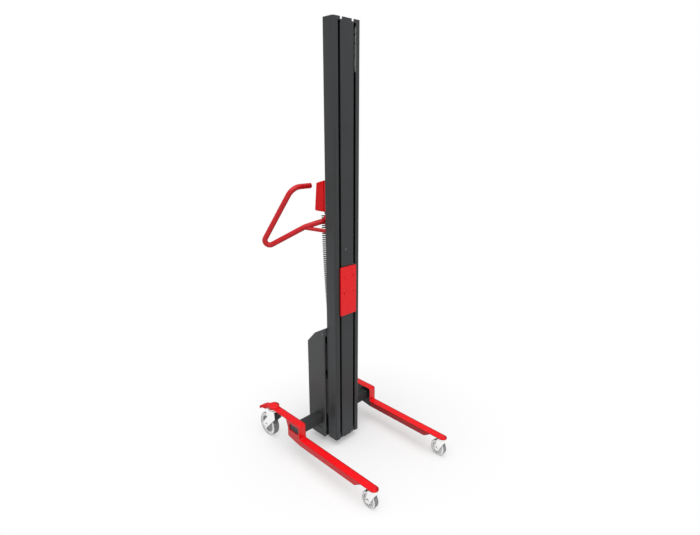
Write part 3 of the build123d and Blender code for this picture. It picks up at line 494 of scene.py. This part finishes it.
MATERIALS = {
    "mast": mast_surface("mast_coat"),
    "rail": rail_surface("rail_steel"),
    "frame": casing_surface("frame_coat"),
    "battery": finish_surface("battery_case", BATTERY_GREY, 0.5),
    "controller": finish_surface("controller_case", CONTROLLER_GREY, 0.5),
    "tube": finish_surface("tube_coat", TUBE_GREY, 0.5, Specular_IOR_Level=0.25),
    "leg": leg_surface("leg_coat"),
    "red": finish_surface("red_coat", RED, 0.32, **SPRAYED, Specular_IOR_Level=0.25),
    # Painted shade: the bar, its bracket, stays and welds take a darker copy of the red coat
    "bar": finish_surface("shaded_bar_coat", SHADED_BAR_RED, 0.34, **SPRAYED, Specular_IOR_Level=0.3),
    "pedal": finish_surface("pedal_coat", PEDAL_RED, 0.4, **SPRAYED, Specular_IOR_Level=0.06),
    "lid": finish_surface("red_housing", RED_PLASTIC, 0.5, drift=0.03, edge=0.002, bump=0.2,
                          Specular_IOR_Level=0.15),
    "plastic": finish_surface("black_plastic", BLACK, 0.5, bump=0.25),
    "steel": finish_surface("zinc_steel", ZINC, 0.3, Metallic=1.0, drift=0.1),
    "screw": finish_surface("dull_zinc", DULL_ZINC, 0.4, Metallic=1.0, drift=0.1),
    # The front forks and hubs darken where hemmed in, near the fork arms and the axle: dust and painted
    # shade; the rear forks take none
    "fork": finish_surface("bright_zinc", BRIGHT_ZINC, 0.24, **PLATED, recess=0.6, reach=0.010),
    "rear_fork": finish_surface("bright_zinc_plate", BRIGHT_ZINC, 0.24, **PLATED),
    "hub": finish_surface("wheel_nylon", WHITE, 0.4, **NYLON, recess=0.6, reach=0.02),
    "dish": dish_surface("wheel_dish"),
    "tyre": tyre_surface("wheel_tread"),
    "machined": finish_surface("machined_aluminium", ZINC, 0.35, Metallic=1.0),
    "pad": finish_surface("acetal", WHITE, 0.4),
    "motor": finish_surface("motor_coat", BLACK, 0.4),
    "rubber": finish_surface("cord_rubber", RUBBER, 0.55, grain=2500.0, Specular_IOR_Level=0.3),
}

FRONT_CASTORS = ["front_left", "front_right"]
REAR_CASTORS = ["rear_left", "rear_right"]
FORK_PARTS = ["_fork", "_axle"]
NODE_FINISH = {
    "mast": ["mast_profile", "mast_top_cap", "mast_base"],
    "frame": ["casing_cover", "casing_floor", "battery_shelf"],
    "tube": ["cross_tube"],
    "leg": ["left_leg", "right_leg"],
    "red": ["carriage_plate"],
    "bar": ["handlebar", "handlebar_bracket", "handlebar_stays"],
    "pedal": ["left_brake_pedal", "right_brake_pedal"],
    "lid": ["control_box_lid", "control_box_body"],
    "battery": ["batteries"],
    "controller": ["motor_controller"],
    "plastic": ["tube_plugs", "cord_glands", "up_button", "down_button", "rear_left_brake_housing",
                "rear_right_brake_housing"],
    "rail": ["guide_rails"],
    "steel": ["mast_bolts", "bracket_screws", "drive_shaft", "shaft_bearing", "top_pulley_axle"],
    "screw": ["mast_screws", "casing_screws"],
    "fork": ["front_castor_stems"] + [castor + part for castor in FRONT_CASTORS for part in FORK_PARTS],
    "rear_fork": ["rear_castor_stems"] + [castor + part for castor in REAR_CASTORS for part in FORK_PARTS],
    "hub": [castor + "_hub" for castor in FRONT_CASTORS],
    "dish": [castor + "_hub" for castor in REAR_CASTORS],
    "tyre": [castor + "_tyre" for castor in FRONT_CASTORS + REAR_CASTORS],
    "machined": ["belt_clamp", "drive_pulley", "top_pulley", "gearbox"],
    "pad": ["glide_pads"],
    "motor": ["drive_motor", "sliders"],
    "rubber": ["drive_belt", "curly_cord"],
}


def paint_nodes():
    for finish, names in NODE_FINISH.items():
        for name in names:
            slots = nodes[name].data.materials
            slots.clear()
            slots.append(MATERIALS[finish])


# Curly cord
def make_curve(name, kind, points, radius, roundness, finish):
    """A round line along points: the curve and its spline."""
    curve = bpy.data.curves.new(name, "CURVE")
    curve.dimensions = "3D"
    curve.bevel_depth = radius
    curve.bevel_resolution = roundness
    curve.materials.append(MATERIALS[finish])
    spline = curve.splines.new(kind)
    spline.points.add(len(points) - 1)
    for control, point in zip(spline.points, points):
        control.co = (*point, 1.0)
    return curve, spline


def cord_centre(drop, start):
    """The middle of the coil at a drop below its start."""
    y = MAST_FRONT + CORD_TOP_SETBACK - CORD_LEAN * drop - CORD_BOW * drop * drop
    return Vector((CORD_OFFSET, y, start - drop))


def coil_point(turn, start):
    """A control point of the coil, just outside the circle that the spline follows."""
    drop = turn * CORD_PITCH
    along = Vector((0, -CORD_LEAN - 2 * CORD_BOW * drop, -1)).normalized()
    right = Vector((1, 0, 0))
    radius = CORD_COIL_RADIUS / math.cos(math.pi / CORD_STEPS)
    angle = 2 * math.pi * turn
    spoke = math.cos(angle) * right + math.sin(angle) * along.cross(right)
    return cord_centre(drop, start) + radius * spoke


def cord_ends():
    """The coil's start height, the ends of its first and last turn, and where the cord meets its glands."""
    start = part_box("cord_glands")[1].z - BOX_WALL - GLAND_HEIGHT - CORD_LEAD - CORD_BEND
    side = Vector((CORD_COIL_RADIUS, 0, 0))
    first = cord_centre(0, start) + side
    last = cord_centre(CORD_TURNS * CORD_PITCH, start) + side
    away = Vector((0, CORD_BEND, CORD_BEND + CORD_LEAD))
    return start, first, last, first + away, last - away


def make_cord():
    start, first, last, top, bottom = cord_ends()
    straight = Vector((0, 0, CORD_LEAD + CORD_BEND / 2))
    turn_in = Vector((0, TURN_IN_SHARE * CORD_BEND, TURN_IN_RISE))
    coil = [coil_point(step / CORD_STEPS, start) for step in range(CORD_TURNS * CORD_STEPS + 1)]
    points = [top, top - straight, first + turn_in, *coil, last - turn_in, bottom + straight, bottom]
    curve, spline = make_curve("curly_cord_line", "NURBS", points, CORD_WIRE / 2, CORD_ROUNDNESS, "rubber")
    curve.resolution_u = CORD_SMOOTHNESS
    spline.order_u = 3
    spline.use_endpoint_u = True
    cord = link_object("curly_cord_coil", curve)
    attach(cord, "chassis")
    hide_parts("curly_cord")


# Small details
def make_mesh(name, shape):
    mesh = bpy.data.meshes.new(name)
    shape.to_mesh(mesh)
    shape.free()
    return mesh


def mount_piece(name, data, body):
    piece = link_object(name, data)
    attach(piece, body)


def add_piece(name, shape, finish, body):
    mesh = make_mesh(name, shape)
    mesh.materials.append(MATERIALS[finish])
    mount_piece(name, mesh, body)


def add_stud(shape, middle, direction, radius, height, sides, taper=STUD_TAPER):
    """A low tapered stud that stands on a face."""
    turn = Vector(direction).to_track_quat("Z", "Y").to_matrix().to_4x4()
    place = Matrix.Translation(Vector(middle) + Vector(direction) * (height / 2)) @ turn
    bmesh.ops.create_cone(shape, cap_ends=True, segments=sides, radius1=radius, radius2=taper * radius,
                          depth=height, matrix=place)


def add_socket(shape, middle, direction):
    """The socket in a screw's head, as a thin black hexagon: painted shade for the hollow."""
    add_stud(shape, middle, direction, SOCKET_RADIUS, SOCKET_LIFT, HEXAGON)


def make_screw_sockets():
    shape = bmesh.new()
    low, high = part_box("casing_screws")
    upper = (low.y + SCREW_HEAD_RADIUS, high.z - SCREW_HEAD_RADIUS)
    lower = (high.y - SCREW_HEAD_RADIUS, low.z + SCREW_HEAD_RADIUS)
    for y, z in (upper, lower):
        for side in (-1, 1):
            add_socket(shape, (side * high.x, y, z), (side, 0, 0))
    low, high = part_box("mast_screws")
    add_socket(shape, ((low.x + high.x) / 2, low.y, low.z + SCREW_HEAD_RADIUS), (0, -1, 0))
    add_piece("screw_sockets", shape, "plastic", "chassis")


def make_rail_screws():
    """Heads of the countersunk screws that hold the guide rails, seen through the slots."""
    shape = bmesh.new()
    low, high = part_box("guide_rails")
    face = high.x - RAIL_THICKNESS
    top = MAST_TOP - RAIL_SCREW_DROP
    for index in range(int((top - low.z) / RAIL_SCREW_PITCH)):
        for drop in (0.0, RAIL_PAIR_GAP):
            z = top - index * RAIL_SCREW_PITCH - drop
            for side in (-1, 1):
                middle = (side * face, MAST_FRONT + RAIL_SCREW_SETBACK, z)
                add_stud(shape, middle, (-side, 0, 0), RAIL_SCREW_RADIUS, SOCKET_LIFT, RAIL_SCREW_SIDES)
    add_piece("rail_screws", shape, "motor", "chassis")


def far_face(name, direction):
    """Middle of a node's outermost flat face in a direction."""
    points = [vertex.co for vertex in nodes[name].data.vertices]
    reach = max(point.dot(direction) for point in points)
    face = [point for point in points if point.dot(direction) > reach - FACE_TOLERANCE]
    return sum(face, Vector()) / len(face)


def make_arrow(name, turn):
    """A plain triangle on a push button."""
    outward = Vector((0, math.cos(BUTTON_LEAN), math.sin(BUTTON_LEAN)))
    upward = Vector((0, -math.sin(BUTTON_LEAN), math.cos(BUTTON_LEAN)))
    middle = far_face(name, outward)
    shape = bmesh.new()
    corners = []
    for lift in (0.0, ARROW_LIFT):
        for angle in (90, 210, 330):
            x = ARROW_SIZE * math.cos(math.radians(angle))
            z = ARROW_SIZE * math.sin(math.radians(angle)) * turn
            corners.append(shape.verts.new(middle + outward * lift + Vector((x, 0, 0)) + upward * z))
    bmesh.ops.convex_hull(shape, input=corners)
    add_piece(name + "_arrow", shape, "pad", name + "_body")


def add_bead(name, points, finish, body):
    """A weld bead along a closed line."""
    curve, spline = make_curve(name, "POLY", points, WELD_RADIUS, WELD_ROUNDNESS, finish)
    spline.use_cyclic_u = True
    mount_piece(name, curve, body)


def bar_ring(x):
    """Points round the handlebar where it leaves its bracket."""
    points = []
    for step in range(RING_STEPS):
        angle = 2 * math.pi * step / RING_STEPS
        y = MAST_FRONT + BAR_SETBACK + BAR_RADIUS * math.cos(angle)
        points.append((x, y, BAR_HEIGHT + BAR_RADIUS * math.sin(angle)))
    return points


def tube_outline(x):
    """Points round the cross tube's section, with its rounded corners, where it meets a leg."""
    low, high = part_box("cross_tube")
    back = TUBE_BACK - TUBE_CORNER
    front = TUBE_BACK - TUBE_DEPTH + TUBE_CORNER
    upper = high.z - TUBE_CORNER
    lower = low.z + TUBE_CORNER
    points = []
    for y, z, first in ((back, upper, 0), (front, upper, 90), (front, lower, 180), (back, lower, 270)):
        for step in range(CORNER_STEPS + 1):
            angle = math.radians(first + 90 * step / CORNER_STEPS)
            points.append((x, y + TUBE_CORNER * math.cos(angle), z + TUBE_CORNER * math.sin(angle)))
    return points


def make_welds():
    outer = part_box("handlebar_bracket")[1].x
    for name, side in (("left", -1), ("right", 1)):
        add_bead(name + "_bar_weld", bar_ring(side * outer), "bar", "chassis")
        add_bead(name + "_tube_weld", tube_outline(side * LEG_INNER), "tube", "chassis")


def make_gland_nuts():
    top, bottom = cord_ends()[3:]
    shape = bmesh.new()
    box_face = (top.x, top.y, top.z + GLAND_HEIGHT)
    seat = (bottom.x, bottom.y, bottom.z - 2 * GLAND_NUT_HEIGHT)
    for middle, upward in ((box_face, -1), (seat, 1)):
        add_stud(shape, middle, (0, 0, upward), GLAND_NUT_RADIUS, GLAND_NUT_HEIGHT, HEXAGON, GLAND_NUT_TAPER)
    add_piece("gland_nuts", shape, "plastic", "chassis")


# Stage
def camera_rays(tree):
    """1 where the camera looks, also by way of metal or glass, and 0 for light that falls on things."""
    path = add_node(tree, "ShaderNodeLightPath").outputs
    seen = combine(tree, "MAXIMUM", path["Is Camera Ray"], path["Is Glossy Ray"])
    return combine(tree, "MAXIMUM", seen, path["Is Transmission Ray"])


def make_floor():
    shape = bmesh.new()
    bmesh.ops.create_grid(shape, x_segments=1, y_segments=1, size=FLOOR_HALF)
    mesh = make_mesh("floor", shape)
    mesh.materials.append(floor_surface("pale_floor"))
    link_object("floor", mesh)


def make_world():
    """Even light on the object, and a white background that darkens overhead in what metal shows."""
    world = bpy.data.worlds.new("studio")
    bpy.context.scene.world = world
    world.use_nodes = True
    tree = world.node_tree
    light = tree.nodes["Background"]
    light.inputs["Color"].default_value = shade(LIGHT)
    light.inputs["Strength"].default_value = WORLD_LIGHT
    ceiling = spread(tree, axes(tree, "Generated")["Z"], CEILING_FROM, CEILING_TO, 1.0, CEILING,
                     interpolation_type="SMOOTHSTEP")
    seen = add_node(tree, "ShaderNodeBackground", {"Color": shade(LIGHT), "Strength": ceiling})
    total = mix_shaders(tree, camera_rays(tree), light.outputs["Background"], seen.outputs["Background"])
    tree.links.new(total, tree.nodes["World Output"].inputs["Surface"])


def make_lights():
    for name, (place, target, size, power) in LAMPS.items():
        lamp = bpy.data.lights.new(name, "AREA")
        lamp.shape = "SQUARE"
        lamp.size = size
        lamp.energy = power
        holder = link_object(name, lamp)
        holder.location = place
        holder.rotation_euler = (Vector(target) - Vector(place)).to_track_quat("-Z", "Y").to_euler()


make_camera()
make_cord()
paint_nodes()
make_screw_sockets()
make_rail_screws()
make_arrow("up_button", 1)
make_arrow("down_button", -1)
make_welds()
make_gland_nuts()
make_floor()
make_world()
make_lights()
bpy.context.scene.view_settings.view_transform = "Standard"
